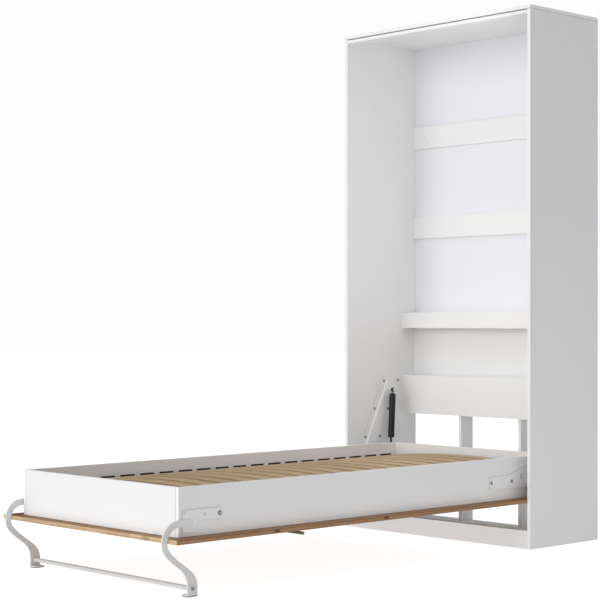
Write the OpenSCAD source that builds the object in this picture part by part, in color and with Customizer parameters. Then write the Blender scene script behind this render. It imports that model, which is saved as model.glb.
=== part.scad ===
// Vertical wall bed: a tall open cabinet and a bed box that folds down out of it.
// The bed is shown open. Millimetres, +Z up, the foot of the bed points to -Y.
// The origin is on the floor under the middle of the open bed's bounding box.

/* [Cabinet] */
// Outer width of the cabinet
cabinet_w = 1080; // [1070:1:1200]
// Outer height of the cabinet
cabinet_h = 2235; // [2230:1:2400]
// Outer depth of the cabinet with its thin back
cabinet_d = 459; // [440:1:600]
// Thickness of the coated boards
board_t = 16; // [15:0.5:19]
// Thickness of the thin back panel
back_t = 3; // [2:0.5:5]
// Height of the plinth board
plinth_h = 76; // [60:1:76]
// Height of the bottom board's underside over the floor
bottom_gap = 8; // [2:1:20]
// Depth of the rail under the top board
top_rail_d = 60; // [40:1:120]
// Thickness of the rail under the top board
top_rail_t = 14; // [12:0.5:19]
// Shadow gap between that rail and the top board
top_rail_gap = 4; // [1:0.5:5]

/* [Cabinet back] */
// Height of the two rails in front of the thin back
rear_rail_h = 104; // [80:1:140]
// Underside of the upper rear rail
rear_rail_upper_z = 1748; // [1500:1:2000]
// Underside of the middle rear rail
rear_rail_middle_z = 1325; // [1100:1:1400]
// Depth of the recess behind the apron and the cross board
recess_d = 80; // [60:1:100]
// Height of the shelf apron
apron_h = 73; // [60:1:100]
// Underside of the shelf apron
apron_z = 903; // [860:1:960]
// Height of the wide cross board
cross_h = 179; // [150:1:220]
// Underside of the wide cross board
cross_z = 504; // [480:1:560]
// Top of the dividers and underside of the lower back board
divider_top_z = 600; // [560:1:640]
// Distance between the two screw holes for the wall
wall_hole_spacing = 900; // [600:10:960]
// Diameter of the screw holes for the wall
wall_hole_d = 5; // [4:0.5:10]

/* [Bed box] */
// Width of the mattress that fits
mattress_w = 900; // [880:1:910]
// Length inside the bed box
inner_l = 2004; // [1900:1:2010]
// Height of the side rails
rail_h = 170; // [150:1:200]
// Thickness of the front panel, which is the underside of the open bed
panel_t = 16; // [15:0.5:19]
// Height of the front panel's lower face over the floor
panel_z = 189; // [189:1:200]
// How far the front panel reaches past the bed box at the foot
foot_overhang = 52; // [30:1:52]
// How far the front panel stops short of the bed box at the head
head_setback = 6; // [4:1:20]
// Gap between the front panel and each side panel
panel_gap = 2; // [1:0.5:5]
// Distance from the cabinet's front to the outer face of the head board
head_y = 254; // [240:1:254]

/* [Slats] */
// Number of slats
slat_count = 20; // [4:4:20]
// Distance between the centres of two slats
slat_pitch = 98.5; // [80:0.5:100]
// Width of a slat
slat_w = 68; // [50:1:70]
// Thickness of a slat
slat_t = 8; // [6:0.5:12]
// Rise of the slats in the middle
slat_bow = 25; // [10:1:30]
// Height of a slat's upper face at its ends
slat_end_z = 320; // [300:1:330]

/* [Hinge] */
// Height of the hinge axis over the floor
pivot_z = 261; // [261:1:262]
// Diameter of the hinge pin
hinge_pin_d = 12; // [10:1:14]
// Thickness of the steel plates
plate_t = 3; // [2:0.5:4]
// Height of the pressed channel on the cabinet plates
channel_h = 8; // [4:1:10]

/* [Gas springs] */
// Distance of the upper stud behind the cabinet's front
upper_stud_y = 261; // [255:1:270]
// Height of the upper stud
upper_stud_z = 618; // [600:1:640]
// Distance of the lower stud behind the cabinet's front
lower_stud_y = 240; // [235:1:240]
// Height of the lower stud
lower_stud_z = 224; // [224:1:230]
// Outer diameter of the gas cylinder
cylinder_d = 29; // [20:1:29]
// Length of the gas cylinder
cylinder_l = 197; // [195:1:220]
// Diameter of the piston rod
rod_d = 10; // [8:1:12]

/* [Foot leg] */
// Thickness of the flat bar of the leg arms
arm_t = 6; // [5:1:8]
// Width of a leg arm at its upper end
arm_top_w = 24.5; // [20:0.5:30]
// Width of a leg arm at the floor
arm_foot_w = 42; // [30:1:50]
// Diameter of the leg's crossbar
crossbar_d = 16; // [12:1:20]
// Height of the crossbar's axis over the floor
crossbar_z = 28; // [24:1:40]

/* [Handles] */
// Length of a handle bar
handle_l = 280; // [180:5:300]
// Distance between the two posts of a handle
handle_posts = 160; // [96:32:192]
// Diameter of the handle bar
handle_d = 12; // [10:1:14]
// Distance from the front panel to the axis of the handle bar
handle_reach = 29; // [25:1:40]
// Distance from the middle of the bed to the outer end of a handle
handle_end_x = 416; // [300:1:500]
// Distance from the hinge axis to the handles
handle_from_pivot = 1228; // [1000:1:1400]

/* [Hidden] */

// Segments of a full round
$fn = 48;

// Colours
white = [0.93, 0.93, 0.92];
thin_back = [0.92, 0.92, 0.95];
oak = [0.72, 0.55, 0.38];
birch = [0.80, 0.68, 0.50];
light_steel = [0.80, 0.80, 0.80];
dark_steel = [0.35, 0.34, 0.33];
grey = [0.66, 0.66, 0.66];
black = [0.08, 0.08, 0.08];

// Cabinet planes
inner_x = cabinet_w / 2 - board_t;
inner_w = 2 * inner_x;
back_y = cabinet_d - back_t;
rail_y = back_y - board_t;
recess_y = back_y - recess_d;
apron_y = recess_y - board_t;
top_z = cabinet_h - board_t;
bottom_top_z = bottom_gap + board_t;
shelf_z = apron_z + apron_h - board_t;
divider_x = inner_w / 6;

// Bed planes
pivot_y = pivot_z - panel_z;
rail_x = mattress_w / 2 + board_t;
rail_z = panel_z + panel_t;
rail_top_z = rail_z + rail_h;
foot_y = head_y - inner_l - 2 * board_t;
panel_x = inner_x - panel_gap;
panel_foot_y = foot_y - foot_overhang;
panel_head_y = head_y - head_setback;

// Play of running fits, and the gap that keeps separate parts apart
fit_play = 0.05;
gap = 0.5;

// Slat supports
ledger_w = 20;
ledger_h = 40;
cap_h = 20.5;
cap_cheek_h = 10;
cap_w = slat_w + 5;
cap_wall = 4;
ledger_z = slat_end_z - slat_t - 6 - ledger_h;
slat_half = mattress_w / 2 - 6;
slat_r = (pow(slat_half, 2) + pow(slat_bow, 2)) / (2 * slat_bow);
first_slat_y = (foot_y + head_y - (slat_count - 1) * slat_pitch) / 2;
slats_per_node = slat_count / 5;

// Gas spring line, from the upper stud down to the lower stud
spring_x = rail_x + plate_t + 19;
spring_tilt = atan2(upper_stud_y - lower_stud_y, upper_stud_z - lower_stud_z);
spring_l = norm([upper_stud_y - lower_stud_y, upper_stud_z - lower_stud_z]);
stud_r = 4;
eye_r = 8;
eye_w = 13;
cylinder_top = 24;
cylinder_wall = 2;
gland_l = 10;
piston_l = 5;
rod_sleeve_l = 112;

// Cabinet hinge plates
plate_face_x = inner_x - plate_t;
channel_face_x = plate_face_x - channel_h;
channel_low = [pivot_y + 6, pivot_z - 26];
channel_high = [upper_stud_y + 17, upper_stud_z + 27];
channel_w = 62;
cabinet_plate_outline = [
    [pivot_y - 41, pivot_z - 21, 20], [pivot_y - 10, pivot_z - 49, 20],
    [pivot_y + 78, pivot_z - 49, 12], [upper_stud_y + 86, upper_stud_z - 33, 30],
    [upper_stud_y + 86, upper_stud_z + 59, 10], [upper_stud_y - 34, upper_stud_z + 59, 14]
];
cabinet_plate_holes = [
    [pivot_y + 42, pivot_z + 141], [pivot_y + 137, pivot_z + 141], [pivot_y + 102, pivot_z + 270],
    [pivot_y + 191, pivot_z + 266], [upper_stud_y - 25, upper_stud_z + 41],
    [upper_stud_y + 69, upper_stud_z + 41]
];

// Bed hinge plates
bed_plate_outline = [
    [pivot_y - 244, pivot_z - 10, 8], [pivot_y - 6, pivot_z - 15, 60],
    [pivot_y + 118, rail_z + 4, 30], [head_y - 1, rail_z + 4, 12], [head_y - 1, pivot_z, 20],
    [pivot_y + 93, pivot_z + 84, 24], [pivot_y + 38, pivot_z + 91, 24],
    [pivot_y - 122, pivot_z + 44, 60], [pivot_y - 244, pivot_z + 44, 8]
];
bed_plate_holes = [
    [pivot_y - 232, pivot_z + 18], [pivot_y - 104, pivot_z + 18], [pivot_y - 38, pivot_z + 34],
    [pivot_y + 53, pivot_z + 57], [pivot_y + 118, pivot_z + 1]
];
boss_r = 13;
boss_x = plate_face_x - 23;
bush_r = 8;

// Foot leg, set out from the foot end of the bed box
leg_y = foot_y + 55;
arm_x = rail_x + plate_t;
bracket_outline = [
    [foot_y + 13, rail_z + 14, 4], [foot_y + 85, rail_z + 14, 14], [foot_y + 85, rail_z + 51, 5],
    [foot_y + 193, rail_z + 51, 18], [foot_y + 193, rail_z + 92, 18], [foot_y + 13, rail_z + 92, 4]
];
bracket_holes = [
    [foot_y + 22, rail_z + 83], [foot_y + 113, rail_z + 72], [foot_y + 180, rail_z + 71]
];
arm_top_z = rail_z + 60;
arm_end_y = foot_y + 47;
arm_out_y = panel_foot_y - 2 - arm_top_w + 1;
pad_t = 4;
tab_t = 3;
tab_l = 28;

// Fasteners
screw_r = 2;
screw_l = 14;
screw_head_r = 4.5;
screw_head_h = 2.5;
bolt_r = 3;
bolt_head_r = 6;
bolt_head_h = 4;
cam_r = 7.5;
cam_t = 11.5;
cam_inset = 34;

// Handles
handle_y = pivot_y - handle_from_pivot;
handle_z = panel_z - handle_reach;
handle_x = handle_end_x - handle_l / 2;
handle_post_r = 4;
handle_bore_l = 12;

// The finished part's origin is under the middle of its bounding box
origin_y = -(arm_out_y + cabinet_d) / 2;

// ---------- helpers ----------

// Places a piece that is set out from the cabinet's front edge on the floor
module place() {
    translate([0, origin_y, 0])
        children();
}

// A board given by its low corner and its size
module board(low, size) {
    translate(low)
        cube(size);
}

// A board that spans the cabinet between the side panels
module cross_board(y, z, depth, height) {
    board([-inner_x, y, z], [inner_w, depth, height]);
}

// Extrudes an outline in the YZ plane along +X
module along_x(x, thickness) {
    translate([x, 0, 0])
        rotate([90, 0, 90])
            linear_extrude(thickness)
                children();
}

// A round bar along X
module bar_x(x, y, z, r, length) {
    translate([x, y, z])
        rotate([0, 90, 0])
            cylinder(r = r, h = length);
}

// Puts a right-hand piece, and its mirror image on the left when asked
module on_side(right) {
    if (right) {
        children();
    } else {
        mirror([1, 0, 0])
            children();
    }
}

module both_sides() {
    for (right = [false, true]) {
        on_side(right)
            children();
    }
}

function unit(v) = v / norm(v);
function xy(p) = [p[0], p[1]];

// Points of the round that replaces corner b of the path a, b, c
function corner_round(a, b, c, r, steps = 6) =
    let (
        u = unit(a - b),
        v = unit(c - b),
        half = acos(u * v) / 2,
        centre = b + unit(u + v) * r / sin(half),
        start = b + u * r / tan(half) - centre,
        end = b + v * r / tan(half) - centre,
        from = atan2(start[1], start[0]),
        turn = (atan2(end[1], end[0]) - from + 540) % 360 - 180
    )
    [for (i = [0:steps]) centre + r * [cos(from + turn * i / steps), sin(from + turn * i / steps)]];

// An outline of [y, z, radius] corners with each corner rounded
function rounded(outline) =
    let (n = len(outline))
    [for (i = [0:n - 1])
        each corner_round(xy(outline[(i + n - 1) % n]), xy(outline[i]),
            xy(outline[(i + 1) % n]), outline[i][2])];

// Points along a cubic curve
function curve(a, b, c, d, steps = 12) =
    [for (i = [0:steps])
        let (t = i / steps, s = 1 - t)
        s * s * s * a + 3 * s * s * t * b + 3 * s * t * t * c + t * t * t * d];

// A pan-head screw that points to -X with its head's underside at x = 0
module screw_x() {
    difference() {
        rotate([0, 90, 0])
            union() {
                cylinder(r1 = screw_head_r, r2 = screw_head_r * 0.7, h = screw_head_h);
                translate([0, 0, -screw_l])
                    cylinder(r = screw_r, h = screw_l);
            }
        for (turn = [0, 90]) {
            rotate([turn, 0, 0])
                translate([screw_head_h - 1, -2.2, -0.5])
                    cube([2, 4.4, 1]);
        }
    }
}

// Pilot holes for plate screws, drilled from a face at x towards +X or -X
module pilot_holes(points, x, towards) {
    for (p = points) {
        bar_x(towards > 0 ? x - 1 : x - screw_l, p[0], p[1], screw_r + fit_play, screw_l + 1);
    }
}

// Holes right through a plate that lies between x and x + thickness
module plate_holes(points, x, thickness) {
    for (p = points) {
        bar_x(x - 1, p[0], p[1], screw_r + 0.2, thickness + 2);
    }
}

// ---------- cabinet ----------

module side_panel(right) {
    color(white)
        place()
            on_side(right)
                difference() {
                    board([inner_x, 0, 0], [board_t, back_y, top_z]);
                    pilot_holes(cabinet_plate_holes, inner_x, 1);
                }
}

module side_panel_left() {
    side_panel(false);
}

module side_panel_right() {
    side_panel(true);
}

module top_board() {
    color(white)
        place()
            board([-cabinet_w / 2, 0, top_z], [cabinet_w, back_y, board_t]);
}

module top_front_rail() {
    color(white)
        place()
            cross_board(0, top_z - top_rail_gap - top_rail_t, top_rail_d, top_rail_t);
}

module bottom_board() {
    color(white)
        place()
            cross_board(board_t, bottom_gap, back_y - board_t, board_t);
}

module plinth_front() {
    color(white)
        place()
            cross_board(0, 0, board_t, plinth_h);
}

// Centres of the wall screw holes
module wall_holes(y, depth) {
    for (x = [-1, 1] * wall_hole_spacing / 2) {
        translate([x, y - 1, rear_rail_upper_z + rear_rail_h / 2])
            rotate([-90, 0, 0])
                cylinder(d = wall_hole_d, h = depth + 2);
    }
}

module back_panel() {
    color(thin_back)
        place()
            difference() {
                board([2 - cabinet_w / 2, back_y, shelf_z + 8],
                    [cabinet_w - 4, back_t, cabinet_h - shelf_z - 10]);
                wall_holes(back_y, back_t);
            }
}

// Pockets or bodies of the cam locks near both ends of a cross board
module cams(y, heights, play = 0) {
    for (z = heights, side = [-1, 1]) {
        translate([side * (inner_x - cam_inset), y - cam_t, z])
            rotate([-90, 0, 0])
                cylinder(r = cam_r + play, h = cam_t + play);
    }
}

// Rear faces of the cross boards, and the heights of their cam locks
rail_cam_z = [
    rear_rail_upper_z + rear_rail_h / 2 + 26, rear_rail_middle_z + rear_rail_h / 2,
    divider_top_z + 60, shelf_z - 60
];
apron_cam_z = [apron_z + 24, cross_z + 40, cross_z + cross_h - 40];

module cross_board_with_cams(y, z, height, cam_heights) {
    difference() {
        cross_board(y, z, board_t, height);
        cams(y + board_t, cam_heights, 0.1);
    }
}

module rear_rail_upper() {
    color(white)
        place()
            difference() {
                cross_board_with_cams(rail_y, rear_rail_upper_z, rear_rail_h, [rail_cam_z[0]]);
                wall_holes(rail_y, board_t);
            }
}

module rear_rail_middle() {
    color(white)
        place()
            cross_board_with_cams(rail_y, rear_rail_middle_z, rear_rail_h, [rail_cam_z[1]]);
}

module back_board() {
    color(white)
        place()
            cross_board_with_cams(rail_y, divider_top_z, shelf_z - divider_top_z,
                [rail_cam_z[2], rail_cam_z[3]]);
}

module head_shelf() {
    color(white)
        place()
            cross_board(recess_y, shelf_z, recess_d, board_t);
}

module shelf_apron() {
    color(white)
        place()
            cross_board_with_cams(apron_y, apron_z, apron_h, [apron_cam_z[0]]);
}

module head_cross_board() {
    color(white)
        place()
            cross_board_with_cams(apron_y, cross_z, cross_h, [apron_cam_z[1], apron_cam_z[2]]);
}

module divider(side) {
    color(white)
        place()
            board([side * divider_x - board_t / 2, recess_y, bottom_top_z],
                [board_t, recess_d, divider_top_z - bottom_top_z]);
}

module divider_left() {
    divider(-1);
}

module divider_right() {
    divider(1);
}

module cam_locks() {
    color(dark_steel)
        place()
            difference() {
                union() {
                    cams(back_y, rail_cam_z);
                    cams(recess_y, apron_cam_z);
                }
                for (side = [-1, 1], z = rail_cam_z) {
                    translate([side * (inner_x - cam_inset), back_y, z])
                        cube([8, 2, 1.5], center = true);
                }
            }
}

// The pressed channel is a low hat section that runs from the pivot to the upper stud
module channel() {
    run = channel_high - channel_low;
    translate([plate_face_x, channel_low[0], channel_low[1]])
        rotate([-atan2(run[0], run[1]), 0, 0])
            linear_extrude(norm(run))
                polygon([
                    [0.1, -channel_w / 2], [0.1, channel_w / 2],
                    [-channel_h, channel_w / 2 - 7], [-channel_h, 7 - channel_w / 2]
                ]);
}

module cabinet_hinge_plate(right) {
    color(light_steel)
        place()
            on_side(right)
                difference() {
                    union() {
                        along_x(plate_face_x, plate_t)
                            polygon(rounded(cabinet_plate_outline));
                        channel();
                    }
                    plate_holes(cabinet_plate_holes, plate_face_x, plate_t);
                }
}

module cabinet_hinge_plate_left() {
    cabinet_hinge_plate(false);
}

module cabinet_hinge_plate_right() {
    cabinet_hinge_plate(true);
}

// A shouldered pin welded to the channel, which ends just short of the side rail
module hinge_pin(right) {
    pin_end_x = rail_x + gap;
    color(dark_steel)
        place()
            on_side(right)
                union() {
                    bar_x(pin_end_x, pivot_y, pivot_z, hinge_pin_d / 2, channel_face_x - pin_end_x);
                    bar_x(boss_x + gap, pivot_y, pivot_z, boss_r - 2,
                        channel_face_x - boss_x - gap);
                }
}

module hinge_pin_left() {
    hinge_pin(false);
}

module hinge_pin_right() {
    hinge_pin(true);
}

module upper_spring_studs() {
    outer_face_x = spring_x + eye_w / 2 + gap;
    inner_face_x = spring_x - eye_w / 2 - gap;
    color(light_steel)
        place()
            both_sides()
                union() {
                    bar_x(inner_face_x - 2, upper_stud_y, upper_stud_z, stud_r,
                        channel_face_x - inner_face_x + 2);
                    bar_x(outer_face_x, upper_stud_y, upper_stud_z, stud_r + 3,
                        channel_face_x - outer_face_x);
                    bar_x(inner_face_x - 2, upper_stud_y, upper_stud_z, stud_r + 2, 2);
                }
}

module cabinet_plate_screws() {
    color(dark_steel)
        place()
            both_sides()
                for (p = cabinet_plate_holes) {
                    translate([plate_face_x, p[0], p[1]])
                        rotate([0, 0, 180])
                            screw_x();
                }
}

// ---------- bed box ----------

module side_rail(right) {
    color(white)
        place()
            on_side(right)
                difference() {
                    board([rail_x - board_t, foot_y, rail_z], [board_t, head_y - foot_y, rail_h]);
                    pilot_holes(concat(bed_plate_holes, bracket_holes), rail_x, -1);
                }
}

module side_rail_left() {
    side_rail(false);
}

module side_rail_right() {
    side_rail(true);
}

module foot_board() {
    color(white)
        place()
            board([board_t - rail_x, foot_y, rail_z], [mattress_w, board_t, rail_h]);
}

module head_board() {
    color(white)
        place()
            board([board_t - rail_x, head_y - board_t, rail_z], [mattress_w, board_t, rail_h]);
}

// Where the handle posts meet the front panel
module handle_post_places() {
    for (side = [-1, 1], post = [-1, 1]) {
        translate([side * handle_x + post * handle_posts / 2, handle_y, 0])
            children();
    }
}

module front_panel() {
    color(oak)
        place()
            difference() {
                board([-panel_x, panel_foot_y, panel_z],
                    [2 * panel_x, panel_head_y - panel_foot_y, panel_t]);
                handle_post_places()
                    translate([0, 0, panel_z - 1])
                        cylinder(r = screw_r + 0.2, h = panel_t + 2);
            }
}

module slat_ledger(right) {
    color(birch)
        place()
            on_side(right)
                board([mattress_w / 2 - ledger_w, foot_y + board_t, ledger_z],
                    [ledger_w, inner_l, ledger_h]);
}

module slat_ledger_left() {
    slat_ledger(false);
}

module slat_ledger_right() {
    slat_ledger(true);
}

// Height of the bowed slat's upper face at x
function slat_z(x) = slat_end_z + slat_bow - slat_r + sqrt(pow(slat_r, 2) - pow(x, 2));

// A cap carries each slat end: low cheeks beside the slat and a higher wall behind its end
module slat_caps() {
    pocket_z = slat_z(slat_half) - slat_t - 0.3;
    wall_x = ledger_w + 2 - cap_wall;
    color(black)
        place()
            both_sides()
                for (i = [0:slat_count - 1]) {
                    translate([mattress_w / 2 - ledger_w - 2, first_slat_y + i * slat_pitch, 0])
                        difference() {
                            translate([0, 0, ledger_z + ledger_h])
                                union() {
                                    translate([0, -cap_w / 2, 0])
                                        cube([ledger_w + 2, cap_w, cap_cheek_h]);
                                    translate([wall_x, -slat_w / 2, 0])
                                        cube([cap_wall, slat_w, cap_h]);
                                }
                            translate([-1, -slat_w / 2 - 0.2, pocket_z])
                                cube([wall_x + 1, slat_w + 0.4, slat_t + 3]);
                        }
                }
}

// One slat, bent upwards along an arc
module slat(y) {
    steps = 24;
    xs = [for (i = [0:steps]) -slat_half + 2 * slat_half * i / steps];
    upper = [for (x = xs) [x, slat_z(x)]];
    lower = [for (i = [steps:-1:0]) [xs[i], slat_z(xs[i]) - slat_t]];
    translate([0, y + slat_w / 2, 0])
        rotate([90, 0, 0])
            linear_extrude(slat_w)
                polygon(concat(upper, lower));
}

module slats(group) {
    color(birch)
        place()
            for (i = [0:slats_per_node - 1]) {
                slat(first_slat_y + ((group - 1) * slats_per_node + i) * slat_pitch);
            }
}

module slats_1() {
    slats(1);
}

module slats_2() {
    slats(2);
}

module slats_3() {
    slats(3);
}

module slats_4() {
    slats(4);
}

module slats_5() {
    slats(5);
}

// ---------- bed hinge ----------

module bed_hinge_plate(right) {
    color(light_steel)
        place()
            on_side(right)
                difference() {
                    union() {
                        along_x(rail_x, plate_t)
                            polygon(rounded(bed_plate_outline));
                        bar_x(rail_x, pivot_y, pivot_z, boss_r, boss_x - rail_x);
                    }
                    bar_x(rail_x - 1, pivot_y, pivot_z, bush_r, boss_x - rail_x + 2);
                    plate_holes(bed_plate_holes, rail_x, plate_t);
                }
}

module bed_hinge_plate_left() {
    bed_hinge_plate(false);
}

module bed_hinge_plate_right() {
    bed_hinge_plate(true);
}

module hinge_bush(right) {
    color(black)
        place()
            on_side(right)
                difference() {
                    bar_x(rail_x, pivot_y, pivot_z, bush_r, boss_x - rail_x);
                    bar_x(rail_x - 1, pivot_y, pivot_z, hinge_pin_d / 2 + fit_play,
                        boss_x - rail_x + 2);
                }
}

module hinge_bush_left() {
    hinge_bush(false);
}

module hinge_bush_right() {
    hinge_bush(true);
}

// The lower studs end just short of the rod ends, because the linkage is open there
module lower_spring_studs() {
    stud_end_x = spring_x - eye_w / 2 - gap;
    color(dark_steel)
        place()
            both_sides()
                union() {
                    bar_x(rail_x + plate_t, lower_stud_y, lower_stud_z, stud_r,
                        stud_end_x - rail_x - plate_t);
                    bar_x(rail_x + plate_t, lower_stud_y, lower_stud_z, stud_r + 3, 4);
                }
}

// ---------- gas springs ----------

// Works in the spring's own frame: the upper eye at the origin, the spring along -Z
module along_spring(right) {
    on_side(right)
        translate([spring_x, upper_stud_y, upper_stud_z])
            rotate([-spring_tilt, 0, 0])
                children();
}

module gas_cylinder(right) {
    bore_r = cylinder_d / 2 - cylinder_wall;
    low = -cylinder_top - cylinder_l;
    color(black)
        place()
            along_spring(right)
                difference() {
                    union() {
                        translate([0, 0, low])
                            cylinder(d = cylinder_d, h = cylinder_l);
                        translate([0, 0, -cylinder_top - 1])
                            cylinder(r = 5.5, h = cylinder_top - 4);
                        bar_x(-eye_w / 2, 0, 0, eye_r, eye_w);
                    }
                    bar_x(-eye_w / 2 - 1, 0, 0, stud_r + fit_play, eye_w + 2);
                    translate([0, 0, low + gland_l])
                        cylinder(r = bore_r, h = cylinder_l - gland_l - 4);
                    translate([0, 0, low - 1])
                        cylinder(r = rod_d / 2 + fit_play, h = gland_l + 2);
                }
}

module gas_cylinder_left() {
    gas_cylinder(false);
}

module gas_cylinder_right() {
    gas_cylinder(true);
}

module gas_rod(right) {
    piston_top = -cylinder_top - 4 - gap;
    piston_r = cylinder_d / 2 - cylinder_wall - gap;
    rod_low = rod_sleeve_l * 0.8 - spring_l;
    color(black)
        place()
            along_spring(right)
                union() {
                    translate([0, 0, piston_top - piston_l])
                        cylinder(r = piston_r, h = piston_l);
                    translate([0, 0, rod_low])
                        cylinder(d = rod_d, h = piston_top - piston_l - rod_low);
                }
}

module gas_rod_left() {
    gas_rod(false);
}

module gas_rod_right() {
    gas_rod(true);
}

// A long end fitting: a sleeve on the rod and a flat-faced socket at the stud
module rod_end(right) {
    color(black)
        place()
            along_spring(right)
                translate([0, 0, -spring_l])
                    difference() {
                        union() {
                            bar_x(-eye_w / 2, 0, 0, eye_r, eye_w);
                            translate([0, 0, eye_r - 1.5])
                                cylinder(r = 7.5, h = rod_sleeve_l - eye_r + 1.5);
                        }
                        translate([0, 0, rod_sleeve_l * 0.8])
                            cylinder(d = rod_d, h = rod_sleeve_l);
                    }
}

module rod_end_left() {
    rod_end(false);
}

module rod_end_right() {
    rod_end(true);
}

// ---------- foot leg ----------

module leg_bracket(right) {
    color(light_steel)
        place()
            on_side(right)
                difference() {
                    along_x(rail_x, plate_t)
                        polygon(rounded(bracket_outline));
                    plate_holes(bracket_holes, rail_x, plate_t);
                }
}

module leg_bracket_left() {
    leg_bracket(false);
}

module leg_bracket_right() {
    leg_bracket(true);
}

// Side view of a leg arm: it hooks round the front panel's foot edge and sweeps back to the floor
module arm_outline() {
    top = arm_top_z;
    low = arm_top_z - arm_top_w;
    bend_y = foot_y - 5;
    hook_z = panel_z - 2;
    front_y = leg_y - arm_foot_w / 2;
    rear_y = leg_y + arm_foot_w / 2;
    inner_y = arm_out_y + arm_top_w - 1;
    knee_z = crossbar_z + 9;
    outer = concat(
        [[arm_end_y, top]],
        curve([bend_y, top], [bend_y - 42, top], [arm_out_y, hook_z + 44], [arm_out_y, hook_z]),
        curve([arm_out_y, hook_z], [arm_out_y, hook_z - 38], [leg_y - 87, hook_z - 64],
            [leg_y - 53, hook_z - 90]),
        curve([leg_y - 53, hook_z - 90], [leg_y - 32, hook_z - 106], [front_y, knee_z + 26],
            [front_y, knee_z]),
        [[front_y, pad_t]]
    );
    inner = concat(
        [[rear_y, pad_t]],
        curve([rear_y, knee_z], [rear_y, knee_z + 34], [leg_y - 8, hook_z - 97],
            [leg_y - 38, hook_z - 76]),
        curve([leg_y - 38, hook_z - 76], [leg_y - 74, hook_z - 50], [inner_y, hook_z - 26],
            [inner_y, hook_z]),
        curve([inner_y, hook_z], [inner_y, hook_z + 32], [bend_y - 25, low], [bend_y + 4, low]),
        [[arm_end_y, low]]
    );
    polygon(concat(outer, inner));
    translate([arm_end_y, (top + low) / 2])
        circle(d = arm_top_w);
}

module leg_arm(right) {
    color(light_steel)
        place()
            on_side(right)
                difference() {
                    union() {
                        along_x(arm_x, arm_t)
                            arm_outline();
                        board([arm_x - tab_l, leg_y - arm_foot_w / 2, pad_t],
                            [tab_l + 1, arm_foot_w, tab_t]);
                    }
                    bar_x(arm_x - 1, leg_y, crossbar_z, bolt_r + fit_play, arm_t + 2);
                }
}

module leg_arm_left() {
    leg_arm(false);
}

module leg_arm_right() {
    leg_arm(true);
}

module leg_crossbar() {
    bore_l = 20;
    color(light_steel)
        place()
            difference() {
                bar_x(-arm_x, leg_y, crossbar_z, crossbar_d / 2, 2 * arm_x);
                both_sides()
                    bar_x(arm_x - bore_l, leg_y, crossbar_z, bolt_r + fit_play, bore_l + 1);
            }
}

module leg_pads() {
    color(grey)
        place()
            both_sides()
                board([arm_x - tab_l + 1, leg_y - arm_foot_w / 2, 0],
                    [tab_l + arm_t - 1, arm_foot_w, pad_t]);
}

module crossbar_bolts() {
    socket_r = 2.6;
    color(dark_steel)
        place()
            both_sides()
                translate([arm_x + arm_t, leg_y, crossbar_z])
                    difference() {
                        union() {
                            bar_x(0, 0, 0, bolt_head_r, bolt_head_h);
                            bar_x(-arm_t - 16, 0, 0, bolt_r, arm_t + 16);
                        }
                        bar_x(bolt_head_h - 2, 0, 0, socket_r, 3);
                    }
}

// Screws that hold a plate on both side rails
module rail_screws(points) {
    both_sides()
        for (p = points) {
            translate([rail_x + plate_t, p[0], p[1]])
                screw_x();
        }
}

module bed_plate_screws() {
    color(dark_steel)
        place()
            rail_screws(bed_plate_holes);
}

module leg_bracket_screws() {
    color(light_steel)
        place()
            rail_screws(bracket_holes);
}

// ---------- handles ----------

module handle(side) {
    color(dark_steel)
        place()
            difference() {
                union() {
                    bar_x(side * handle_x - handle_l / 2, handle_y, handle_z, handle_d / 2,
                        handle_l);
                    for (post = [-1, 1]) {
                        translate([side * handle_x + post * handle_posts / 2, handle_y, handle_z])
                            cylinder(r = handle_post_r, h = handle_reach);
                    }
                }
                handle_post_places()
                    translate([0, 0, panel_z - handle_bore_l])
                        cylinder(r = screw_r + fit_play, h = handle_bore_l + 1);
            }
}

module handle_left() {
    handle(-1);
}

module handle_right() {
    handle(1);
}

module handle_screws() {
    color(dark_steel)
        place()
            handle_post_places()
                translate([0, 0, rail_z])
                    union() {
                        cylinder(r1 = screw_head_r, r2 = screw_head_r * 0.7, h = screw_head_h);
                        translate([0, 0, 1 - panel_t - handle_bore_l])
                            cylinder(r = screw_r, h = panel_t + handle_bore_l - 1);
                    }
}

side_panel_left();
side_panel_right();
top_board();
top_front_rail();
bottom_board();
plinth_front();
back_panel();
back_board();
rear_rail_upper();
rear_rail_middle();
head_shelf();
shelf_apron();
head_cross_board();
divider_left();
divider_right();
cabinet_hinge_plate_left();
cabinet_hinge_plate_right();
hinge_pin_left();
hinge_pin_right();
upper_spring_studs();
cabinet_plate_screws();
cam_locks();
side_rail_left();
side_rail_right();
foot_board();
head_board();
front_panel();
slat_ledger_left();
slat_ledger_right();
slat_caps();
slats_1();
slats_2();
slats_3();
slats_4();
slats_5();
bed_hinge_plate_left();
bed_hinge_plate_right();
hinge_bush_left();
hinge_bush_right();
lower_spring_studs();
leg_bracket_left();
leg_bracket_right();
leg_arm_left();
leg_arm_right();
leg_crossbar();
leg_pads();
handle_left();
handle_right();
bed_plate_screws();
leg_bracket_screws();
crossbar_bolts();
handle_screws();
gas_cylinder_left();
gas_cylinder_right();
gas_rod_left();
gas_rod_right();
rod_end_left();
rod_end_right();
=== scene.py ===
import math

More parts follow.
